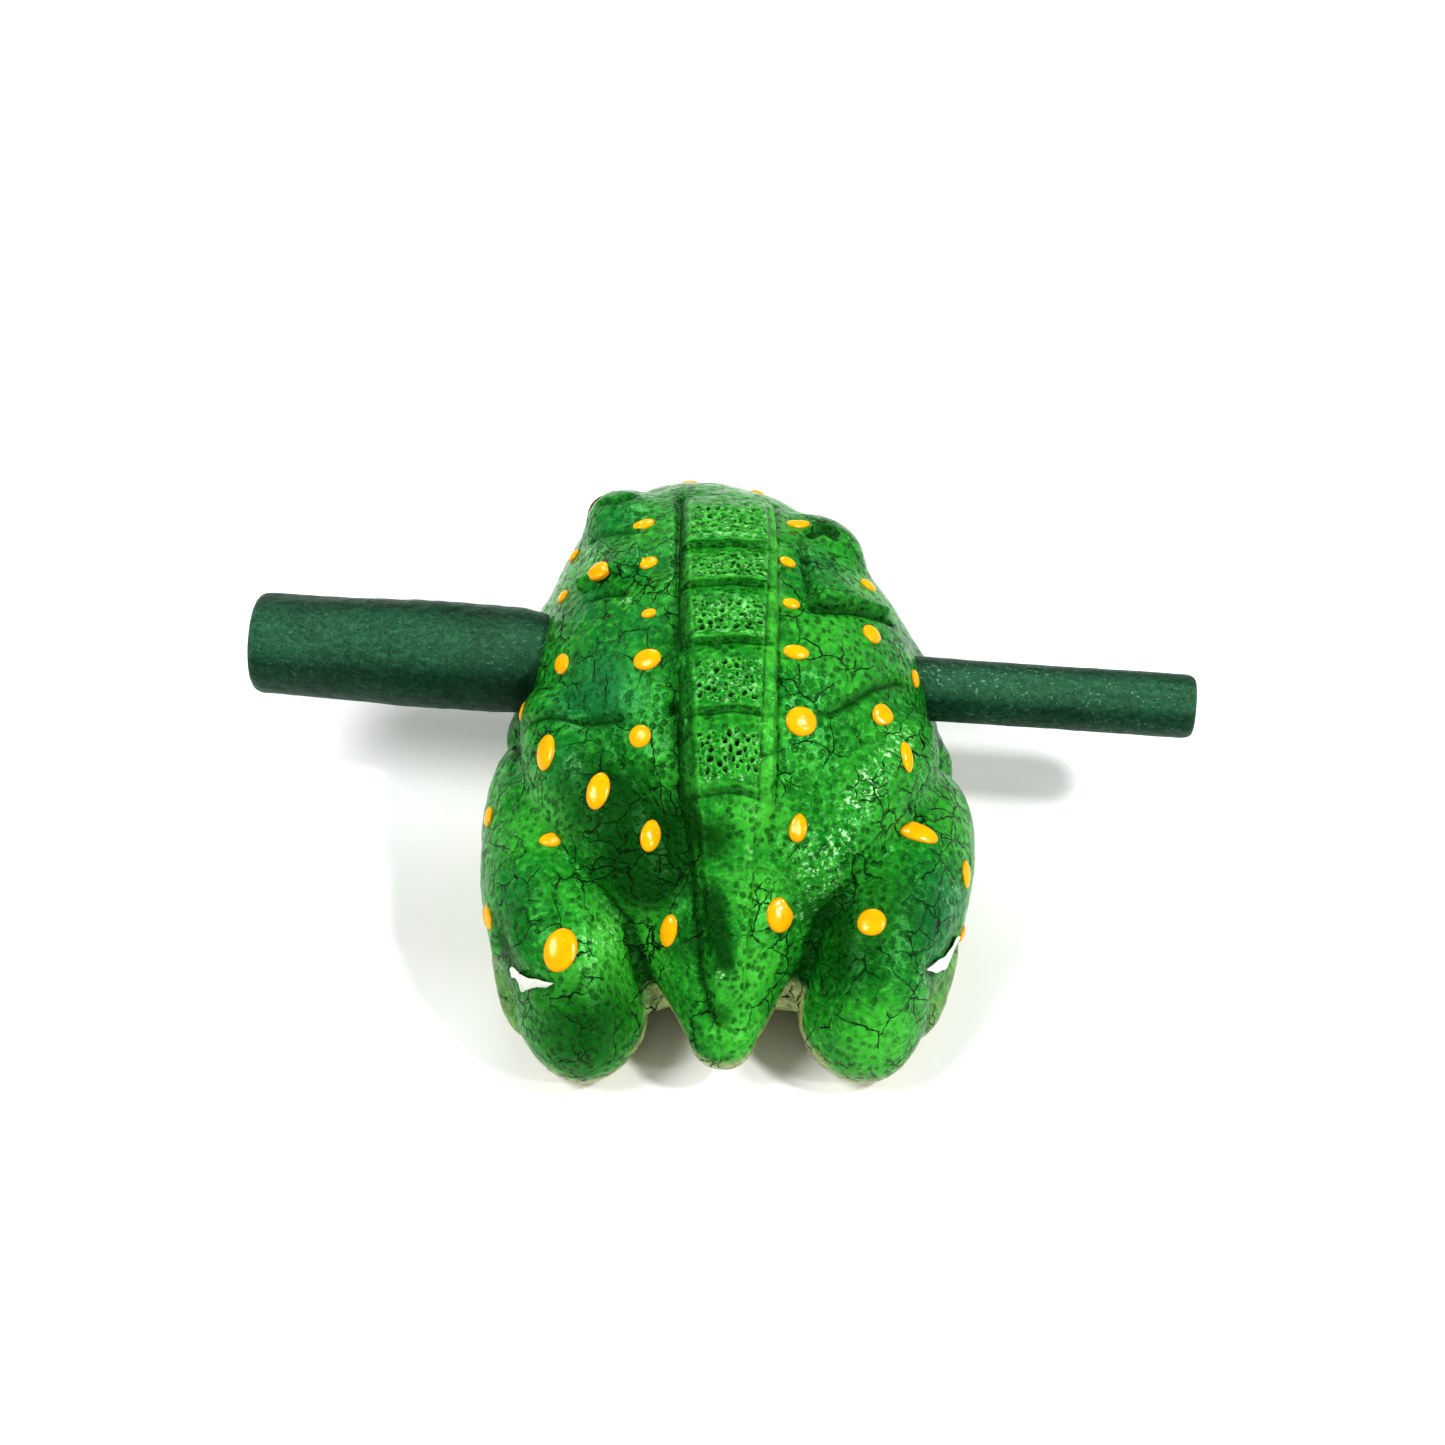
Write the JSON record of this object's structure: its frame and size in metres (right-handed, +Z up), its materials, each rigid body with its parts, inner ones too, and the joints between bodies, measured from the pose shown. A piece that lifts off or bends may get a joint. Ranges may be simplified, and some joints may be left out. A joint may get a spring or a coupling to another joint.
{
  "type": "wooden frog rasp",
  "caption": "Hollow carved wooden croaking frog with a ridged back and open mouth, and a turned beater stored crosswise through its flanks.",
  "frame": {"origin": "middle of the flat belly, on the table", "axes": "+Z up; the frog faces -Y with its tail at +Y; +X is its left flank, where the beater's thick end is"},
  "size_m": [0.1441, 0.0971, 0.0501],
  "materials": {
    "green_lacquer": "hand-painted green crackle lacquer, glossy",
    "beater_green": "thin dark green stain, satin"
  },
  "bodies": {
    "frog": {"frog_body": "green_lacquer"},
    "beater": {"beater": "beater_green"}
  },
  "joints": [
    {"name": "beater_slide", "type": "slide", "parent": "frog", "child": "beater", "axis": [0.9957, -0.0924, 0], "range_m": [0, 0.11]}
  ]
}
